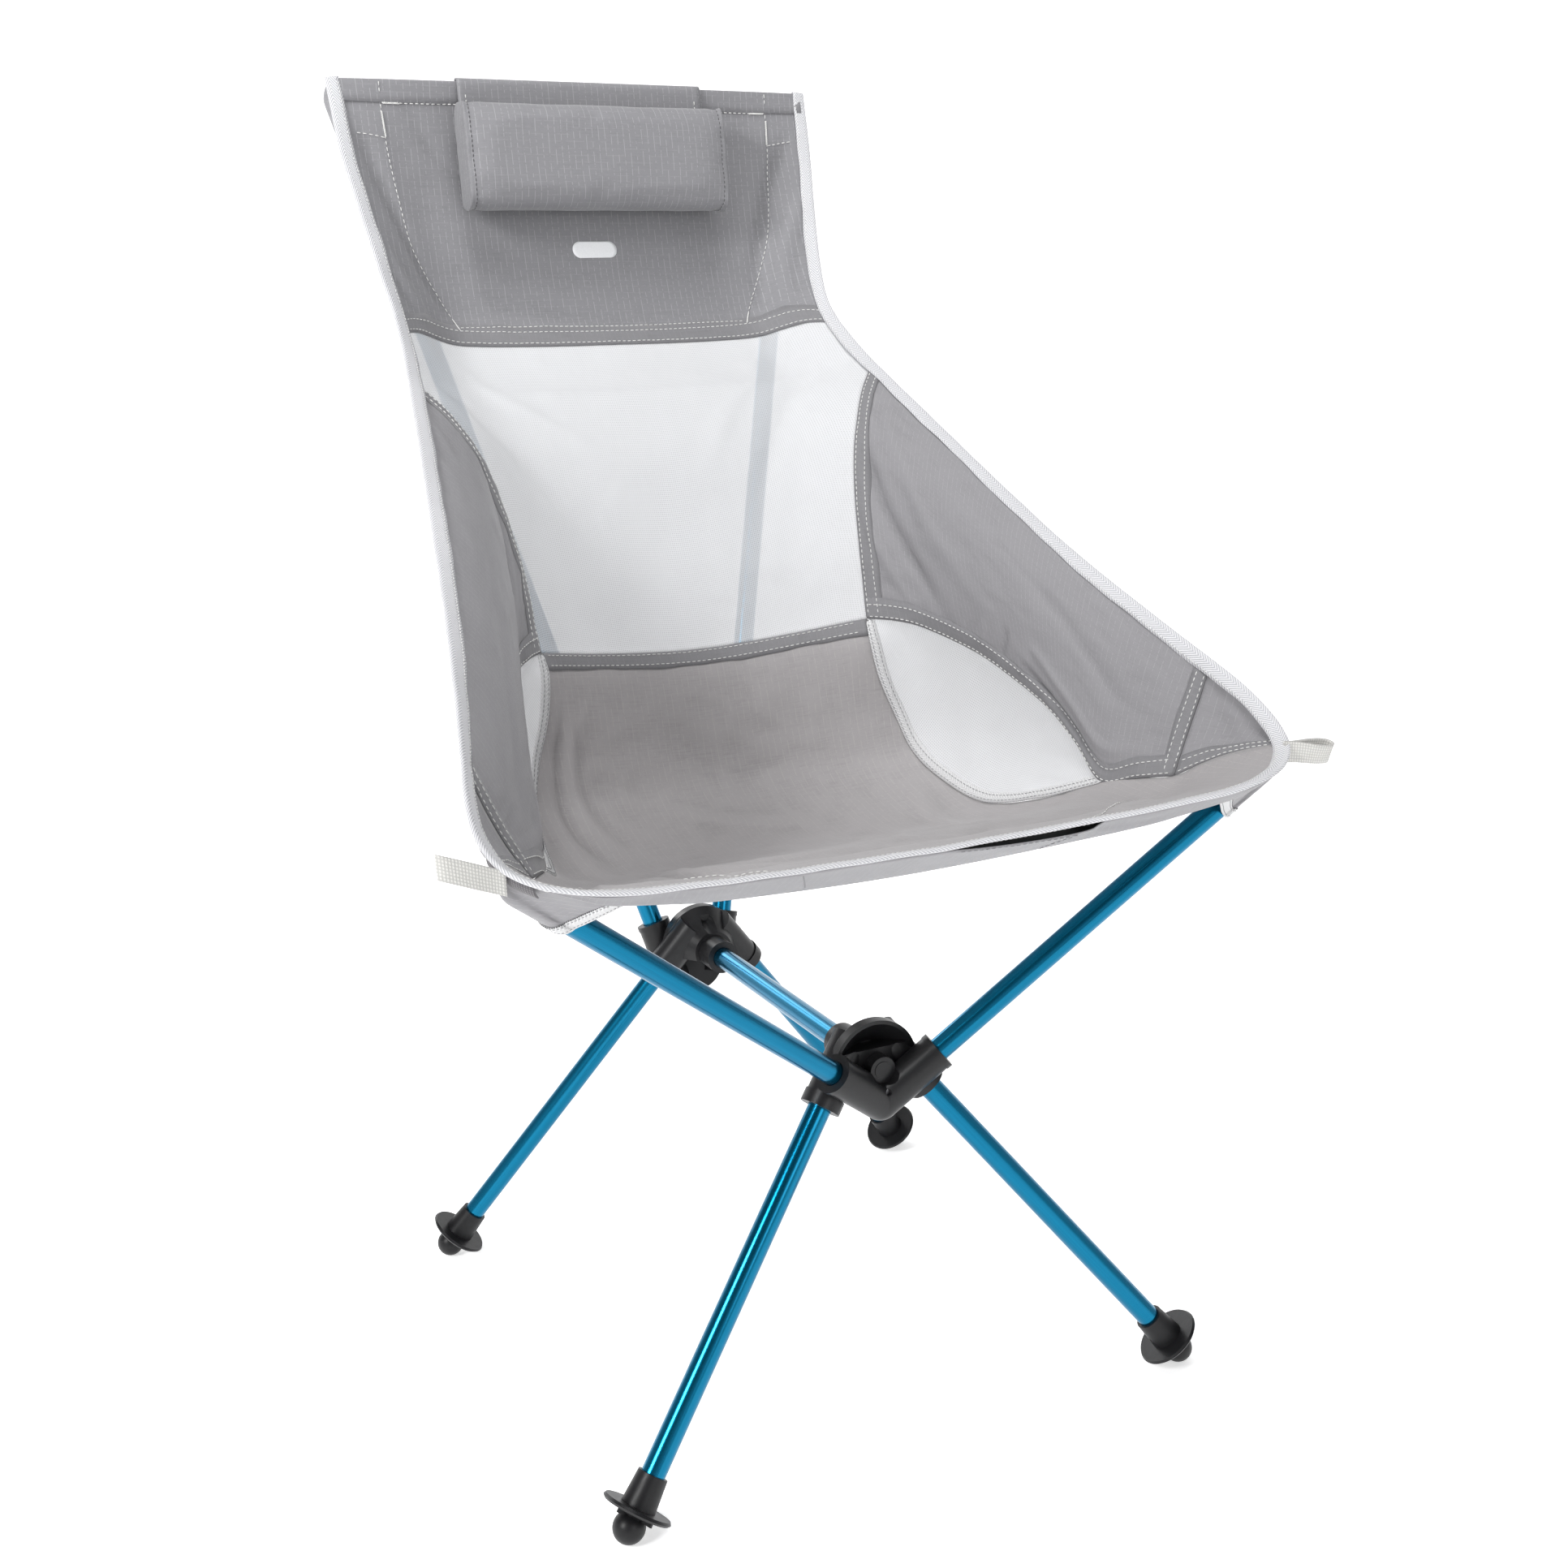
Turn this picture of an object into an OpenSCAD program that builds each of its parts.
// High-back ultralight backpacking chair: a shock-corded pole frame on two hubs, with a sewn
// sling that hangs from four pole tips and carries a small headrest pillow.
// Millimetres, +Z up, the sitter faces -Y. Right-hand pieces are the mirror of the left-hand ones.

/* [Poles] */
// Outer diameter of every pole
pole_d = 16; // [14:0.5:18]
// Wall thickness of the poles
pole_wall = 1; // [0.8:0.1:1.5]
// Diameter of the shock cord inside the poles
cord_d = 3; // [2:0.5:4]

/* [Hubs] */
// Outer diameter of the pole sockets
socket_d = 25.7; // [24:0.1:28]
// Distance between the pole and the wall of its socket
socket_gap = 0.3; // [0.2:0.05:0.4]
// Height of the spreader pole and of both pivot pins above the ground
spreader_z = 251; // [246:1:256]
// Distance from the chair's middle to the point where two leg axes meet
leg_apex_y = 132.5; // [125:0.5:140]
// Height of the point where two leg axes meet
leg_apex_z = 280.8; // [270:0.1:290]
// Radius of the rounded hood on each leg yoke
hood_r = 31; // [28:1:34]

/* [Feet] */
// Half of the track between the left and right feet
foot_x = 210; // [190:1:230]
// Half of the base between the front and rear feet
foot_y = 206; // [190:1:220]
// Diameter of the rubber ball that meets the ground
ball_d = 21; // [18:0.5:24]
// Height of the ball's centre above the ground
ball_z = 10; // [9:0.1:10.4]
// Diameter of the wide disc that keeps the foot from sinking
disc_d = 46.7; // [40:0.1:52]

/* [Sling] */
// Thickness of the fabric panels
cloth_t = 1.2; // [1:0.1:1.6]
// Thickness of the folded binding tape
tape_t = 2.4; // [2:0.1:3]
// Width of the binding tape
tape_w = 10; // [8:0.5:12]
// Share of a panel's width that is left open along a seam
seam_share = 0.003; // [0.002:0.0005:0.006]

/* [Headrest] */
// Width of the pillow
pillow_w = 224; // [200:1:240]
// Height of the pillow
pillow_h = 84; // [70:1:95]
// Thickness of the pillow
pillow_t = 31; // [24:1:34]
// Width of the flap that carries the pillow
flap_w = 206; // [180:1:206]

/* [Hidden] */

$fn = 48;

// Distance that every piece moves back so that the chair's box is centred on the origin
frame_shift_y = -41.9;

// Colours
anodised = [0.0, 0.56, 0.76];
black_plastic = [0.09, 0.09, 0.1];
cord_grey = [0.75, 0.75, 0.72];
ripstop = [0.46, 0.455, 0.465];
seat_cloth = [0.5, 0.48, 0.48];
mesh_white = [0.88, 0.89, 0.9];
tape_white = [0.87, 0.87, 0.88];

// ---------- pole axes, in the frame of the chair's middle ----------
leg_apex = [0, leg_apex_y, leg_apex_z];
leg_foot = [foot_x, foot_y, ball_z];
leg_length = norm(leg_foot - leg_apex);
leg_socket_root = 16;
leg_socket_start = 33;
leg_socket_mouth = 68;
leg_tube_end = leg_length - 17;

arm_vertex = [0, -155.1, 227.3];
arm_corner = [272, -226, 446];
arm_socket_start = 21;
arm_socket_mouth = 52;
arm_tube_end = 316;

back_base = [21.5, 162.4, 230];
back_top = [194.5, 333, 918];
back_length = norm(back_top - back_base);
back_socket_floor = 6;
back_socket_mouth = 38;
back_tube_end = back_length - 12;
back_joint = 314;
ferrule_reach = 45;
ferrule_bore = 11;
tip_plug = 14;
tip_h = 6;
tip_taper = 5;

pin_axis_z = spreader_z;
pin_face_y = 160.4;
pin_boss_d = 18.3;
hood_face = pin_face_y - 10;
dish_floor = 12;
recess_rise = 25;
pin_d = 10;
web_t = 8;
screw_d = 4;
screw_drop = 13.5;
screw_fit = 0.1;
collar_h = 9;
arm_collar_h = 4;
pin_cap_d = 12;
pin_cap_depth = 1.2;

foot_disc_s = leg_length - 12.7;
foot_disc_t = 3;
foot_sleeve_s = foot_disc_s - 21;
foot_sleeve_d = 20;
foot_sleeve_flare = 3.2;
foot_neck_r = 7.5;

// ---------- sling seams, left-hand side, in the frame of the chair's middle ----------
// Outer edge of the sling from the top corner down to the waist
edge_upper = [[203, 320, 927], [200, 304, 875], [195, 290, 840], [188, 268, 790], [184, 248, 757],
    [185, 227, 736]];
// Outer edge from the waist to the tip of the side panel
edge_waist = [[185, 227, 736], [188, 206, 720], [192, 184, 704]];
// Outer edge from the side panel's tip to the gusset
edge_side = [[192, 184, 704], [206, 111, 657], [221, 37, 609], [236, -36, 564], [253, -111, 523],
    [265, -160, 497]];
// Outer edge round the front corner
edge_corner = [[265, -160, 497], [272, -188, 481], [275, -212, 465], [271, -231, 453],
    [262, -243, 446], [250, -251, 441]];
// Inner edge of the binding round the front corner, up to the dart seam and beyond it
corner_inner = [[261.8, -160, 488.6], [266, -185, 473], [268, -205, 461], [262, -223, 447]];
corner_inner_low = [[262, -223, 447], [255, -233, 442], [246, -240, 438]];
// Front edge from the corner to the middle, and the inner edge of its binding
edge_front = [[250, -251, 441], [228, -257, 436], [200, -258, 432], [150, -255, 429],
    [100, -250, 426], [50, -246, 424], [0, -245, 423]];
front_inner = [[246, -240, 438], [228, -246, 433], [200, -248, 430], [150, -245, 426],
    [100, -240, 423], [50, -236, 421], [0, -235, 420]];
// Top hem from the corner to the middle
hem_top = [[203, 320, 927], [163, 316.5, 927], [100, 315, 927], [0, 315, 927]];
// Lower edge of the back panel from the waist to the middle
band_low = [[185, 227, 736], [166, 247, 737], [148, 263, 732], [130, 271, 727], [100, 272, 725],
    [50, 270, 724], [0, 269, 724]];
// Seam between the side panel and the mesh back
seam_side = [[192, 184, 704], [172, 167, 682], [158, 151, 658], [149, 140, 634], [142, 127, 600],
    [137, 112, 561], [135, 102, 524], [134, 97, 508]];
// Inner edge of the binding at the waist, where it borders the mesh
waist_inner = [[179.2, 233.4, 736.5], [178, 214, 720], [182, 188, 701]];
// Seam between the seat and the mesh back, from the side to the middle
seam_back = [[134, 97, 508], [120, 106, 505], [90, 117, 500], [45, 125, 495], [0, 127, 493]];
// Upper edge of the side window
window_arc = [[134, 97, 508], [150, 78, 507], [165, 57, 502], [182, 12, 488], [193, -25, 471],
    [201, -58, 453], [205, -86, 432], [207, -113, 409]];
// Side edge of the seat beside the window
seat_side = [[134, 97, 508], [133, 89, 491], [138, 83, 462], [149, 77, 431], [157, 64, 404],
    [164, 32, 387], [172, -15, 378], [187, -65, 389], [207, -113, 409]];
// Lower edge of the side panel in front of the window
panel_foot = [[207, -113, 409], [218, -139, 415], [231, -164, 420]];
// Seam between the seat and the corner gusset
seam_dart = [[231, -164, 420], [243, -180, 431], [254, -200, 441], [262, -223, 447]];
// Seam between the side panel and the corner gusset
seam_gusset = [[265, -160, 497], [256, -158, 470], [244, -159, 443], [231, -164, 420]];
// Lower edge of the strip that hangs under the front edge, from the side to the middle
under_low = [[212, -247, 424], [175, -241, 417], [150, -234, 412], [100, -220, 405],
    [50, -210, 400], [0, -206, 398]];
under_top = [[212, -251, 427], [175, -251, 425], [150, -250, 423], [100, -245, 420],
    [50, -241, 418], [0, -240, 417]];

// ---------- curves and patches ----------
function last(p) = p[len(p) - 1];
function reverse(p) = [for (i = [len(p) - 1:-1:0]) p[i]];
function tail(p) = [for (i = [1:len(p) - 1]) p[i]];
function mirrored(p) = [for (q = p) [-q[0], q[1], q[2]]];
function unit(v) = v / max(norm(v), 1e-9);
function chords(p) = [for (i = [0:len(p) - 2]) norm(p[i + 1] - p[i])];
function sum(c, i = 0) = i >= len(c) ? 0 : c[i] + sum(c, i + 1);
// Joins runs of points that share their end points
function join(runs, i = 0) =
    i == len(runs) - 1 ? runs[i] : concat([for (k = [0:len(runs[i]) - 2]) runs[i][k]], join(runs, i + 1));
// A half curve from the left-hand side to the middle, completed to the right-hand side and turned
// so that it runs from right to left
function across(half) = concat(mirrored(half), tail(reverse(half)));
// Which stretch of the curve holds the distance d, and how far along that stretch it lies
function stretch(c, d, i = 0) =
    i >= len(c) - 1 || d <= c[i] ? [i, min(d / c[i], 1)] : stretch(c, d - c[i], i + 1);
function smooth_step(a, b, c, d, t) = 0.5 * (2 * b + (c - a) * t + (2 * a - 5 * b + 4 * c - d) * t * t
    + (3 * b - a - 3 * c + d) * t * t * t);
// Point at the fraction t of a smooth curve through the points p
function on_curve(p, t) =
    let (c = chords(p), s = stretch(c, t * sum(c)), i = s[0])
    smooth_step(p[max(i - 1, 0)], p[i], p[i + 1], p[min(i + 2, len(p) - 1)], s[1]);
// A patch is [top, bottom, left, right, sag]: four curves that share their corners, and how far the
// middle is moved
function on_patch(s, u, v) =
    let (top = s[0], low = s[1])
    (1 - v) * on_curve(top, u) + v * on_curve(low, u)
    + (1 - u) * on_curve(s[2], v) + u * on_curve(s[3], v)
    - (1 - u) * (1 - v) * top[0] - u * (1 - v) * last(top)
    - (1 - u) * v * low[0] - u * v * last(low)
    + 16 * u * (1 - u) * v * (1 - v) * s[4];
function patch_normal(s, u, v) =
    let (e = 0.01, a = on_patch(s, min(u + e, 1), v) - on_patch(s, max(u - e, 0), v),
        b = on_patch(s, u, min(v + e, 1)) - on_patch(s, u, max(v - e, 0)))
    unit(cross(b, a));

back_patch = [across(hem_top), across(band_low), mirrored(edge_upper), edge_upper, [0, 4, 0]];
mesh_top = concat([waist_inner[0]], tail(band_low));
mesh_side = concat([for (i = [0:1]) waist_inner[i]], [[181, 190, 704], [179, 176, 692]],
    tail(seam_side));
mesh_patch = [across(mesh_top), across(seam_back), mirrored(mesh_side), mesh_side, [0, 6, 0]];
seat_edge = join([seat_side, panel_foot, seam_dart]);
seat_front = join([corner_inner_low, front_inner]);
seat_patch = [across(seam_back), across(seat_front), mirrored(seat_edge), seat_edge, [0, 0, 10]];
side_patch = [edge_side, join([window_arc, panel_foot]), seam_side, seam_gusset, [-6, 0, 4]];
// The window is a lens, so its two short ends are kept a little open
window_top = concat([window_arc[0] + [3, -5, 0]], [for (i = [1:len(window_arc) - 2]) window_arc[i]],
    [[206, -110, 412]]);
window_low = concat([seat_side[1] + [1, -1, 6]], [for (i = [2:len(seat_side) - 2]) seat_side[i]],
    [[203.5, -106, 406]]);
window_patch = [window_top, window_low, [window_top[0], window_low[0]],
    [last(window_top), last(window_low)], [8, 0, -4]];
// The gusset is a triangle, so its corner at the binding is kept a little open too
gusset_low = concat([for (i = [0:len(seam_dart) - 2]) seam_dart[i]], [last(seam_dart) - [1, -2, 2]]);
gusset_patch = [corner_inner, gusset_low, concat([corner_inner[0]], tail(seam_gusset)),
    [last(corner_inner), last(gusset_low)], [4, -3, -2]];
under_patch = [across(under_top), across(under_low), mirrored([under_top[0], under_low[0]]),
    [under_top[0], under_low[0]], [0, 0, 0]];

// A thin closed sheet on part of a patch, nu by nv cells. v0 and v1 are [value at u0, value at u1].
module sheet(s, nu, nv, u0, u1, v0, v1, t = cloth_t) {
    grid = [for (j = [0:nv]) for (i = [0:nu]) let (k = i / nu, a = v0[0] + (v0[1] - v0[0]) * k,
        b = v1[0] + (v1[1] - v1[0]) * k) [u0 + (u1 - u0) * k, a + (b - a) * j / nv]];
    mid = [for (g = grid) on_patch(s, g[0], g[1])];
    nrm = [for (g = grid) patch_normal(s, g[0], g[1])];
    w = nu + 1;
    n = len(grid);
    points = concat([for (k = [0:n - 1]) mid[k] + nrm[k] * t / 2],
        [for (k = [0:n - 1]) mid[k] - nrm[k] * t / 2]);
    rim = concat([for (i = [0:nu - 1]) i], [for (j = [0:nv - 1]) j * w + nu],
        [for (i = [0:nu - 1]) nv * w + nu - i], [for (j = [0:nv - 1]) (nv - j) * w]);
    faces = concat(
        [for (j = [0:nv - 1]) for (i = [0:nu - 1]) let (a = j * w + i) each
            [[a, a + 1, a + w + 1], [a, a + w + 1, a + w],
            [n + a, n + a + w + 1, n + a + 1], [n + a, n + a + w, n + a + w + 1]]],
        [for (k = [0:len(rim) - 1]) let (a = rim[k], b = rim[(k + 1) % len(rim)]) each
            [[a, n + a, n + b], [a, n + b, b]]]);
    polyhedron(points, faces);
}

// A flat tape that follows a list of outer points with its other edge on the inner points
module tape(outer, inner, t) {
    m = len(outer);
    along = [for (i = [0:m - 1]) unit(outer[min(i + 1, m - 1)] - outer[max(i - 1, 0)])];
    nrm = [for (i = [0:m - 1]) unit(cross(along[i], inner[i] - outer[i])) * t / 2];
    points = [for (i = [0:m - 1]) each
        [outer[i] + nrm[i], outer[i] - nrm[i], inner[i] - nrm[i], inner[i] + nrm[i]]];
    faces = concat([[0, 1, 2], [0, 2, 3]],
        [for (i = [0:m - 2]) for (k = [0:3]) let (a = 4 * i + k, b = 4 * i + (k + 1) % 4) each
            [[a, a + 4, b + 4], [a, b + 4, b]]],
        [let (e = 4 * (m - 1)) each [[e, e + 2, e + 1], [e, e + 3, e + 2]]]);
    polyhedron(points, faces);
}

// ---------- placing ----------
module chair_frame() translate([0, frame_shift_y, 0]) children();
// Draws along +Z from the point p towards q
module aim(p, q) {
    d = unit(q - p);
    translate(p) rotate([0, acos(d[2]), atan2(d[1], d[0])]) children();
}
// end: +1 rear, -1 front; side: +1 left-hand, -1 right-hand
module along_leg(end, side)
    aim([0, end * leg_apex[1], leg_apex[2]], [side * leg_foot[0], end * leg_foot[1], leg_foot[2]])
    children();
module along_arm(side) aim(arm_vertex, [side * arm_corner[0], arm_corner[1], arm_corner[2]]) children();
module along_back(side)
    aim([side * back_base[0], back_base[1], back_base[2]], [side * back_top[0], back_top[1], back_top[2]])
    children();
// Turns +Z to point out of the chair along the pivot pin, with z = 0 on the chair's middle plane
module along_pin(end) translate([0, 0, pin_axis_z]) rotate([end > 0 ? -90 : 90, 0, 0]) children();

module rod(z0, z1, d) translate([0, 0, z0]) cylinder(h = z1 - z0, d = d);
module pipe(z0, z1, outer, inner) difference() {
    rod(z0, z1, outer);
    rod(z0 - 1, z1 + 1, inner);
}
pole_bore = pole_d - 2 * pole_wall;
module pole(z0, z1) pipe(z0, z1, pole_d, pole_bore);
// Plug in the end of a pole, with a tapered tip outside it
module pole_tip(z) {
    rod(z - tip_plug, z, pole_bore);
    translate([0, 0, z]) cylinder(h = tip_h, d1 = pole_d, d2 = pole_d - tip_taper);
}

// ---------- poles ----------
bore_d = pole_d + 2 * socket_gap;
spreader_socket_bottom = 124;
spreader_socket_mouth = 100;
spreader_tube_end = spreader_socket_bottom - socket_gap;

module spreader_tube() color(anodised) chair_frame()
    along_pin(1) pole(-spreader_tube_end, spreader_tube_end);
module arm_tube(side) color(anodised) chair_frame() along_arm(side)
    pole(arm_socket_start + socket_gap, arm_tube_end);
module arm_tip(side) color(black_plastic) chair_frame() along_arm(side) pole_tip(arm_tube_end);
module lower_back_tube(side) color(anodised) chair_frame() along_back(side)
    pole(back_socket_floor + socket_gap, back_joint);
module upper_back_tube(side) color(anodised) chair_frame() along_back(side)
    pole(back_joint + 0.2, back_tube_end);
module back_ferrule(side) color("silver") chair_frame() along_back(side)
    pipe(back_joint - ferrule_reach, back_joint + ferrule_reach, pole_bore - 0.1, ferrule_bore);
module back_tip(side) color(black_plastic) chair_frame() along_back(side) pole_tip(back_tube_end);

// ---------- shock cords ----------
module arm_shock_cords() color(cord_grey) chair_frame() for (side = [-1, 1])
    along_arm(side) rod(arm_socket_start + 3, arm_tube_end - tip_plug, cord_d);
module back_shock_cords() color(cord_grey) chair_frame() for (side = [-1, 1])
    along_back(side) rod(back_socket_floor + 3, back_tube_end - tip_plug, cord_d);
module spreader_shock_cord() color(cord_grey) chair_frame()
    along_pin(1) rod(-spreader_tube_end + 2, spreader_tube_end - 2, cord_d);
module leg_cord(end, side) color(cord_grey) chair_frame() along_leg(end, side)
    rod(leg_socket_start + 1, leg_tube_end - 6, cord_d);

// ---------- legs and feet ----------
module leg_tube(end, side) color(anodised) chair_frame() along_leg(end, side)
    pole(leg_socket_start + socket_gap, leg_tube_end);
// Collar in the hub end of the leg, which keeps the cord in the middle of the tube
module leg_plug(end, side) color(black_plastic) chair_frame() along_leg(end, side)
    pipe(leg_socket_start + socket_gap, leg_socket_start + 10, pole_bore, cord_d + 1);

module foot_profile() polygon([
    [0, foot_disc_s], [foot_sleeve_d / 2 + 1.6, foot_disc_s], [disc_d / 2 - 1, foot_disc_s - 0.2],
    [disc_d / 2, foot_disc_s + foot_disc_t / 2], [disc_d / 2 - 1.5, foot_disc_s + foot_disc_t],
    [foot_neck_r + 4, foot_disc_s + foot_disc_t], [foot_neck_r, foot_disc_s + foot_disc_t + 3.5],
    [foot_neck_r, leg_length], [0, leg_length]]);
module foot(end, side) color(black_plastic) chair_frame() difference() {
    along_leg(end, side) difference() {
        union() {
            translate([0, 0, foot_sleeve_s]) cylinder(h = foot_disc_s - foot_sleeve_s,
                d1 = foot_sleeve_d, d2 = foot_sleeve_d + foot_sleeve_flare);
            rotate_extrude() foot_profile();
            translate([0, 0, leg_length]) sphere(d = ball_d);
            // Four small gussets under the disc
            for (a = [0:90:270]) rotate(a) translate([8, -0.9, foot_disc_s + foot_disc_t - 0.5])
                cube([8, 1.8, 4]);
        }
        rod(foot_sleeve_s - 1, leg_tube_end + 0.2, pole_d + 0.1);
    }
    translate([-400, -400, -40]) cube([800, 800, 40]);
}

// ---------- hubs ----------
module leg_sockets(end) for (side = [-1, 1]) along_leg(end, side) {
    rod(leg_socket_root, leg_socket_mouth, socket_d);
    rod(leg_socket_mouth - collar_h, leg_socket_mouth, socket_d + 2);
}
// A funnel that flares away from the chair, over the upper ends of the leg sockets
module hood(end) along_pin(end) difference() {
    union() {
        rod(hood_face - 8, hood_face, 2 * hood_r);
        translate([0, 0, leg_apex_y - 14])
            cylinder(h = hood_face - leg_apex_y + 6, d1 = socket_d + 6, d2 = 2 * hood_r);
    }
    // The hood stops below the pin, where the cradle begins
    translate([-hood_r - 1, end > 0 ? 6 : -hood_r - 7, 0]) cube([2 * hood_r + 2, hood_r + 1, 200]);
}
// Smooth conical dish in the outer face, above the leg bores
module hood_dish(end) along_pin(end) intersection() {
    translate([0, 0, leg_apex_y + 2])
        cylinder(h = hood_face - leg_apex_y - 1.9, d1 = pin_boss_d + 4, d2 = 2 * hood_r - 5);
    translate([-hood_r, end > 0 ? -hood_r - 1 : dish_floor, 0])
        cube([2 * hood_r, hood_r + 1 - dish_floor, 200]);
}
// Conical recess in the inner face, between the leg sockets
module inner_recess(end) along_pin(end)
    translate([0, end > 0 ? -recess_rise : recess_rise, leg_apex_y - 20])
        cylinder(h = 22, d1 = 26, d2 = 8);
module hub_yoke(end) color(black_plastic) chair_frame() difference() {
    union() {
        difference() {
            union() {
                leg_sockets(end);
                hood(end);
            }
            hood_dish(end);
            inner_recess(end);
        }
        along_pin(end) {
            rod(spreader_socket_mouth, leg_apex_y + 4, socket_d);
            rod(leg_apex_y, pin_face_y - 4, pin_boss_d);
        }
        // Fins that brace the boss against the hood
        for (side = [-1, 1]) along_pin(end)
            translate([side > 0 ? 8 : -24, end > 0 ? -dish_floor : dish_floor - 1.6, leg_apex_y + 2])
                cube([16, 1.6, 16]);
    }
    for (side = [-1, 1]) along_leg(end, side) rod(leg_socket_start, leg_socket_mouth + 1, bore_d);
    along_pin(end) {
        rod(spreader_socket_mouth - 1, spreader_socket_bottom, bore_d);
        rod(spreader_socket_bottom + 4, pin_face_y, pin_d);
    }
    cradle_clearance(end);
}
// The yoke's material stops short of the cradle's sockets
module cradle_clearance(end) {
    gap = 0.3;
    if (end < 0) for (side = [-1, 1]) along_arm(side) rod(0, arm_socket_mouth + 2, socket_d + 2 * gap);
    if (end < 0) translate(arm_vertex) sphere(d = socket_d + 2 * gap);
    if (end > 0) for (side = [-1, 1]) along_back(side) rod(-14, back_socket_mouth + 2, socket_d + 2 * gap);
    if (end > 0) rear_web(gap);
}

// Front cradle: two arm sockets that meet in a rounded V, and a web with the pin's eye
module front_web() {
    tilt = atan2(arm_vertex[1] - arm_corner[1], arm_corner[2] - arm_vertex[2]);
    translate(arm_vertex) rotate([90 + tilt, 0, 0]) translate([0, 0, -web_t / 2])
        linear_extrude(web_t) polygon([[0, 0], [19, 15.6], [14, 24], [-14, 24], [-19, 15.6]]);
}
module front_hub_cradle() color(black_plastic) chair_frame() difference() {
    union() {
        for (side = [-1, 1]) along_arm(side) {
            rod(0, arm_socket_mouth, socket_d);
            rod(arm_socket_mouth - arm_collar_h, arm_socket_mouth, socket_d + 1.2);
        }
        translate(arm_vertex) sphere(d = socket_d);
        front_web();
    }
    for (side = [-1, 1]) along_arm(side) rod(arm_socket_start, arm_socket_mouth + 1, bore_d);
    for (side = [-1, 1]) along_leg(-1, side) rod(leg_socket_start - 2, 120, bore_d);
    along_pin(-1) rod(100, 220, pin_boss_d + 0.2);
    translate([0, 0, pin_axis_z - screw_drop]) rotate([90, 0, 0]) rod(120, 200, screw_d + screw_fit);
}

// Rear cradle: two steep back sockets joined by a web with a rounded keel
module rear_web(grow = 0) {
    rim = web_t + 2 * grow;
    lean = atan2(back_top[1] - back_base[1], back_top[2] - back_base[2]);
    translate([0, back_base[1], back_base[2]]) rotate([90 - lean, 0, 0])
        translate([0, 0, -rim / 2]) linear_extrude(rim) {
            translate([-24, 0]) square([48, 30 + grow]);
            circle(r = 24 + grow);
        }
}
module rear_hub_cradle() color(black_plastic) chair_frame() difference() {
    union() {
        for (side = [-1, 1]) along_back(side) {
            rod(-12, back_socket_mouth, socket_d);
            rod(back_socket_mouth - arm_collar_h, back_socket_mouth, socket_d + 1.2);
        }
        rear_web();
    }
    for (side = [-1, 1]) along_back(side) rod(back_socket_floor, back_socket_mouth + 1, bore_d);
    along_pin(1) rod(100, 220, pin_boss_d + 0.2);
    translate([0, 0, pin_axis_z - screw_drop]) rotate([-90, 0, 0]) rod(120, 200, screw_d + screw_fit);
}

module hub_pivot_pins() color(black_plastic) chair_frame() for (end = [-1, 1]) along_pin(end)
    difference() {
        union() {
            rod(spreader_socket_bottom + 4.2, pin_face_y - 4, pin_d - 0.1);
            rod(pin_face_y - 4, pin_face_y, pin_boss_d);
        }
        rod(pin_face_y - pin_cap_depth, pin_face_y + 1, pin_cap_d + 0.2);
    }
module hub_pin_caps() color(black_plastic) chair_frame() for (end = [-1, 1]) along_pin(end)
    rod(pin_face_y - pin_cap_depth, pin_face_y + 0.4, pin_cap_d);
module hub_screws() color("gray") chair_frame() for (end = [-1, 1])
    translate([0, 0, pin_axis_z - screw_drop]) rotate([end > 0 ? -90 : 90, 0, 0])
        rod(end > 0 ? 157 : 154, end > 0 ? 172 : 165, screw_d);

// ---------- sling ----------
// Lengths that turn a distance on the cloth into a share of a patch
back_width = 390;
side_height = [228, 85];
binding_share = [tape_w / side_height[0], tape_w / side_height[1]];
back_share = tape_w / back_width;

module on_side(side) mirror([side > 0 ? 0 : 1, 0, 0]) children();
module back_panel() color(ripstop) chair_frame()
    sheet(back_patch, 12, 8, back_share, 1 - back_share, [0, 0], [0.996, 0.996]);
module mesh_back() color(mesh_white) chair_frame()
    sheet(mesh_patch, 12, 10, seam_share, 1 - seam_share, [0.004, 0.004], [0.996, 0.996]);
module seat_panel() color(seat_cloth) chair_frame()
    sheet(seat_patch, 14, 16, seam_share, 1 - seam_share, [0.003, 0.003], [0.998, 0.998]);
module side_panel(side) color(ripstop) chair_frame() on_side(side)
    sheet(side_patch, 11, 6, seam_share, 1 - seam_share, binding_share * 1.04, [0.993, 0.99]);
module side_window(side) color(mesh_white) chair_frame() on_side(side)
    sheet(window_patch, 10, 4, 0.01, 0.99, [0.05, 0.05], [0.95, 0.95]);
module corner_gusset(side) color(ripstop) chair_frame() on_side(side)
    sheet(gusset_patch, 6, 4, 0.015, 0.95, [0.02, 0.2], [0.98, 0.8]);
module front_underlayer() color(ripstop) chair_frame()
    sheet(under_patch, 14, 2, 0, 1, [0, 0], [1, 1]);

// Half a sleeve under the tip of each arm, open towards the seat and closed at its far end
pocket_wall = 1.4;
module corner_pocket(side) color(ripstop) chair_frame() along_arm(side) {
    r = pole_d / 2 + 0.4;
    // The opening faces up
    rotate(90) translate([0, 0, 294]) difference() {
        cylinder(h = 46, r = r + pocket_wall);
        translate([0, 0, -1]) cylinder(h = 46, r = r);
        translate([-20, 1.5, -1]) cube([40, 20, 48]);
    }
}
// Sleeve on the back of the sling that holds the tip of each back pole
module top_pocket(side) color(ripstop) chair_frame() along_back(side) difference() {
    rod(back_length - 42, back_length - 3, pole_d + 0.8 + 2 * pocket_wall);
    rod(back_length - 43, back_length - 3 - pocket_wall, pole_d + 0.8);
}

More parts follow.
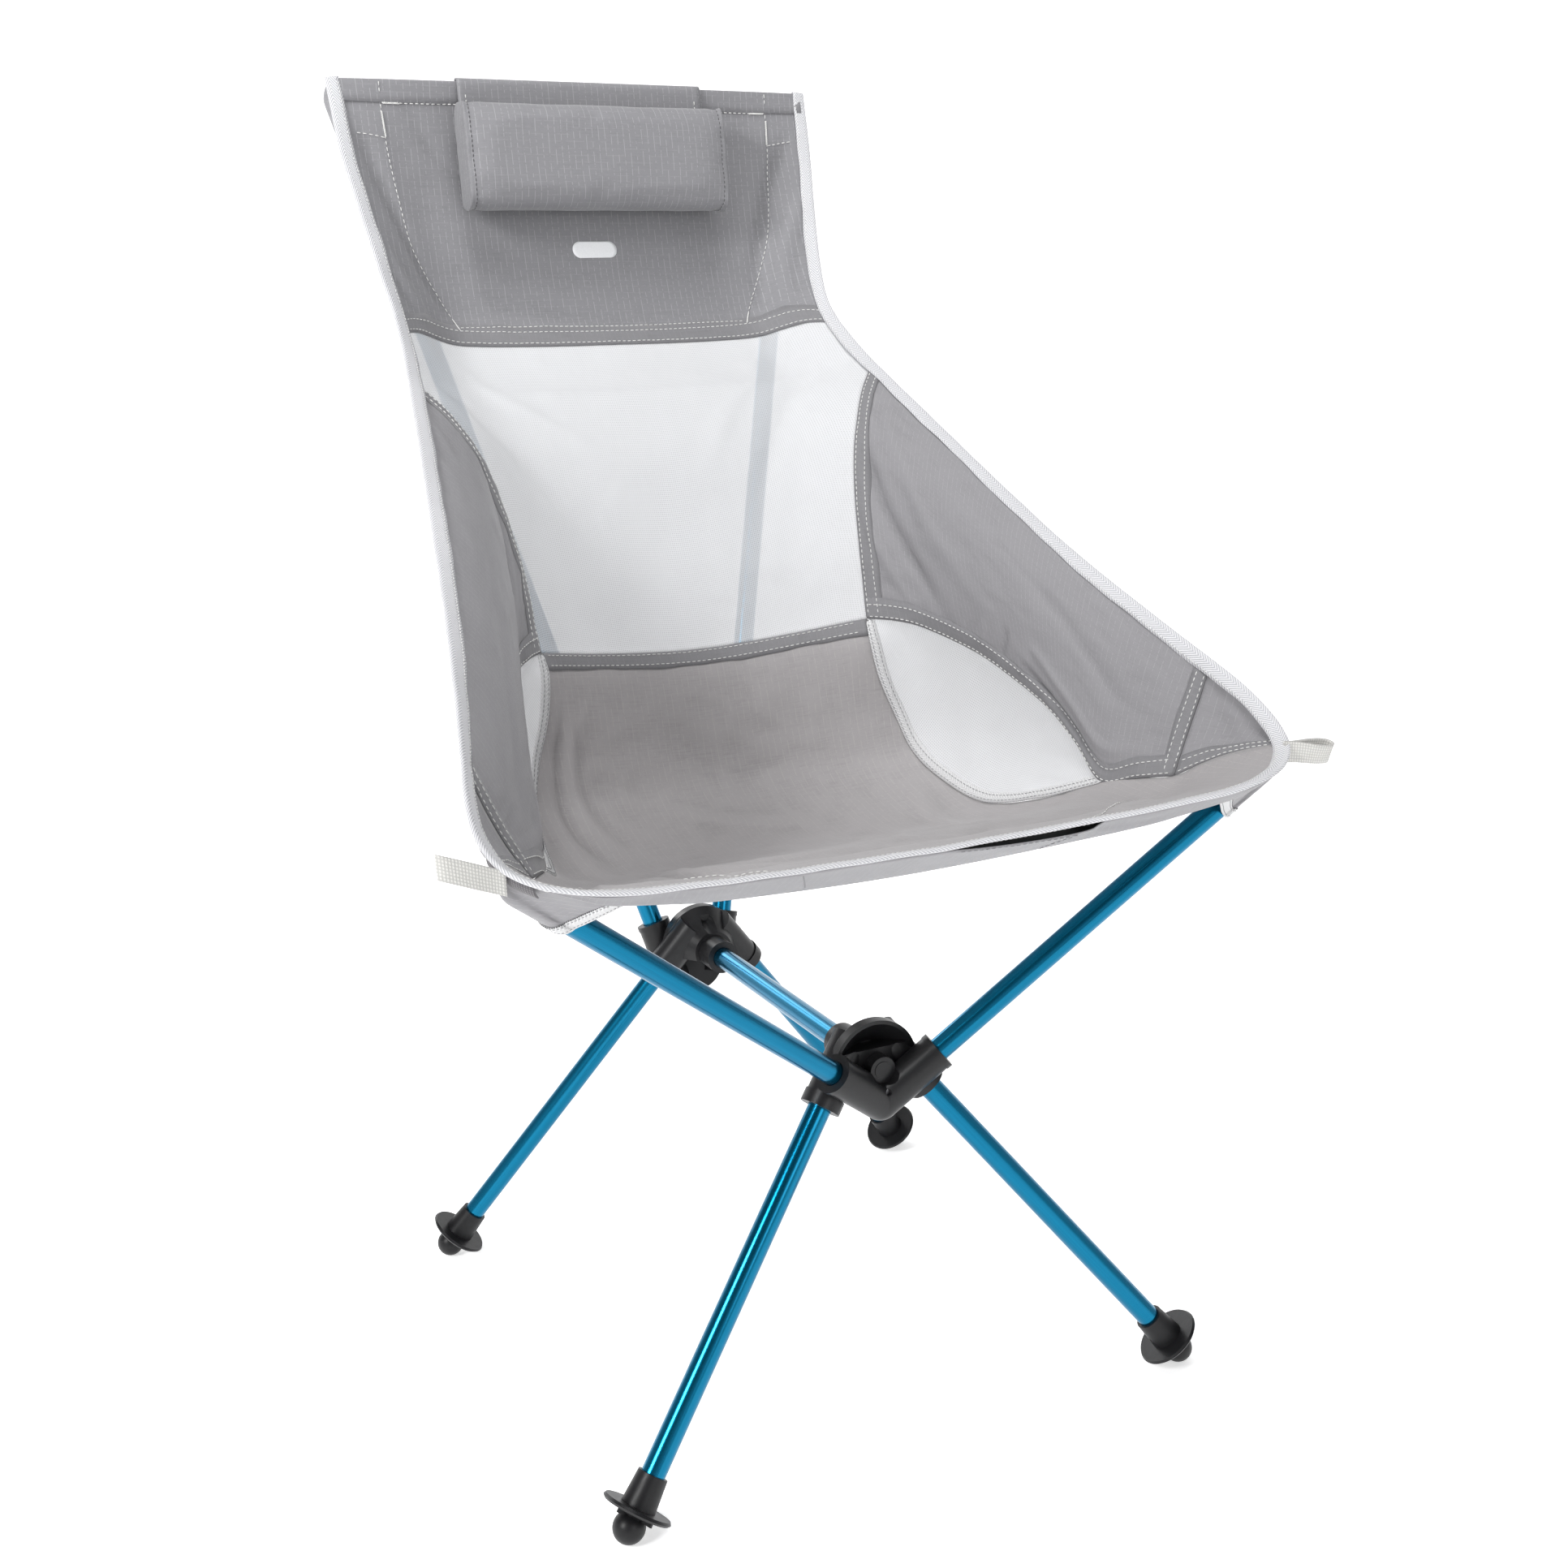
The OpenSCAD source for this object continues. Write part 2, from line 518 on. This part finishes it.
// Binding tape along the outer edge: from one top corner, round the front, to the other top corner.
// It stops a little short of the panels beside it.
tape_reach = 0.9;
function steps(n) = [for (i = [0:n]) i / n];
function binding_outer() = join([
    [for (v = steps(8)) on_patch(back_patch, 1, v)],
    [for (t = steps(2)) on_curve(edge_waist, t)],
    [for (u = steps(11)) on_patch(side_patch, u, 0)],
    [for (t = steps(6)) on_curve(edge_corner, t)],
    [for (t = steps(8)) on_curve(edge_front, t)]]);
function binding_inner() = join([
    [for (v = steps(8)) on_patch(back_patch, 1 - back_share * tape_reach, v)],
    [for (t = steps(2)) on_curve(waist_inner, t)],
    [for (u = steps(11)) on_patch(side_patch, u, tape_reach * (binding_share * [1 - u, u]))],
    [for (t = steps(6)) on_curve(join([corner_inner, corner_inner_low]), t)],
    [for (t = steps(8)) on_curve(front_inner, t)]]);
module edge_binding() color(tape_white) chair_frame()
    tape(across(binding_outer()), across(binding_inner()), tape_t);

// Webbing loop at each front corner, a flat band bent back on itself
loop_reach = 31;
loop_gap = 8;
loop_band = 1.2;
loop_w = 14;
loop_root = [274, -234, 450];
module loop_outline(r) union() {
    translate([r, -r]) square([loop_reach - 2 * r, 2 * r]);
    translate([r, 0]) circle(r = r);
    translate([loop_reach - r, 0]) circle(r = r);
}
module webbing_loop(side) color(tape_white) chair_frame() on_side(side)
    translate([loop_root[0], loop_root[1], loop_root[2] - loop_w / 2]) linear_extrude(loop_w)
        difference() {
            loop_outline(loop_gap / 2 + loop_band);
            translate([loop_band, 0]) scale((loop_reach - 2 * loop_band) / loop_reach)
                loop_outline(loop_gap / 2 + loop_band);
        }

// ---------- headrest ----------
// The pillow hangs from a pivot line on the top hem and leans with the back panel
pillow_pivot = [0, 314, 929];
pillow_lean = -6;
pillow_drop = 20;
pillow_round = 13;
flap_t = 1.2;
module from_pivot() translate(pillow_pivot) rotate([pillow_lean, 0, 0]) children();
module headrest_pillow() color(ripstop) chair_frame() from_pivot()
    translate([-pillow_w / 2, -3, -pillow_drop]) rotate([90, 0, 90]) linear_extrude(pillow_w) {
        r = pillow_round;
        translate([-pillow_t, r - pillow_h]) square([pillow_t, pillow_h - 2 * r]);
        translate([r - pillow_t, -pillow_h]) square([pillow_t - 2 * r, pillow_h]);
        for (y = [r - pillow_t, -r]) for (z = [-r, r - pillow_h]) translate([y, z]) circle(r = r);
    }
// Front of the flap, sewn to the back of the pillow
module headrest_flap() color(ripstop) chair_frame() from_pivot()
    translate([-flap_w / 2, -2.9, -52]) cube([flap_w, flap_t, 50.5]);
// Rest of the flap, which is folded over the hem and hangs behind it
module flap_tail() color(ripstop) chair_frame() {
    translate([-flap_w / 2, 316.4, 868]) cube([flap_w, flap_t, 61.2]);
    translate([-flap_w / 2, 313.2, 928]) cube([flap_w, 4.4, flap_t]);
}

spreader_tube();
hub_yoke(-1);  // front_hub_yoke
hub_yoke(1);  // rear_hub_yoke
front_hub_cradle();
rear_hub_cradle();
hub_pivot_pins();
hub_pin_caps();
hub_screws();
arm_tube(1);  // arm_tube_left
arm_tube(-1);  // arm_tube_right
arm_tip(1);  // arm_tip_left
arm_tip(-1);  // arm_tip_right
lower_back_tube(1);  // lower_back_tube_left
lower_back_tube(-1);  // lower_back_tube_right
upper_back_tube(1);  // upper_back_tube_left
upper_back_tube(-1);  // upper_back_tube_right
back_ferrule(1);  // back_ferrule_left
back_ferrule(-1);  // back_ferrule_right
back_tip(1);  // back_tip_left
back_tip(-1);  // back_tip_right
arm_shock_cords();
back_shock_cords();
spreader_shock_cord();
leg_tube(-1, 1);  // leg_tube_front_left
leg_tube(-1, -1);  // leg_tube_front_right
leg_tube(1, 1);  // leg_tube_rear_left
leg_tube(1, -1);  // leg_tube_rear_right
leg_plug(-1, 1);  // leg_plug_front_left
leg_plug(-1, -1);  // leg_plug_front_right
leg_plug(1, 1);  // leg_plug_rear_left
leg_plug(1, -1);  // leg_plug_rear_right
leg_cord(-1, 1);  // leg_cord_front_left
leg_cord(-1, -1);  // leg_cord_front_right
leg_cord(1, 1);  // leg_cord_rear_left
leg_cord(1, -1);  // leg_cord_rear_right
foot(-1, 1);  // foot_front_left
foot(-1, -1);  // foot_front_right
foot(1, 1);  // foot_rear_left
foot(1, -1);  // foot_rear_right
back_panel();
mesh_back();
seat_panel();
side_panel(1);  // side_panel_left
side_panel(-1);  // side_panel_right
side_window(1);  // side_window_left
side_window(-1);  // side_window_right
corner_gusset(1);  // corner_gusset_left
corner_gusset(-1);  // corner_gusset_right
front_underlayer();
corner_pocket(1);  // corner_pocket_left
corner_pocket(-1);  // corner_pocket_right
top_pocket(1);  // top_pocket_left
top_pocket(-1);  // top_pocket_right
edge_binding();
webbing_loop(1);  // webbing_loop_left
webbing_loop(-1);  // webbing_loop_right
headrest_pillow();
headrest_flap();
flap_tail();
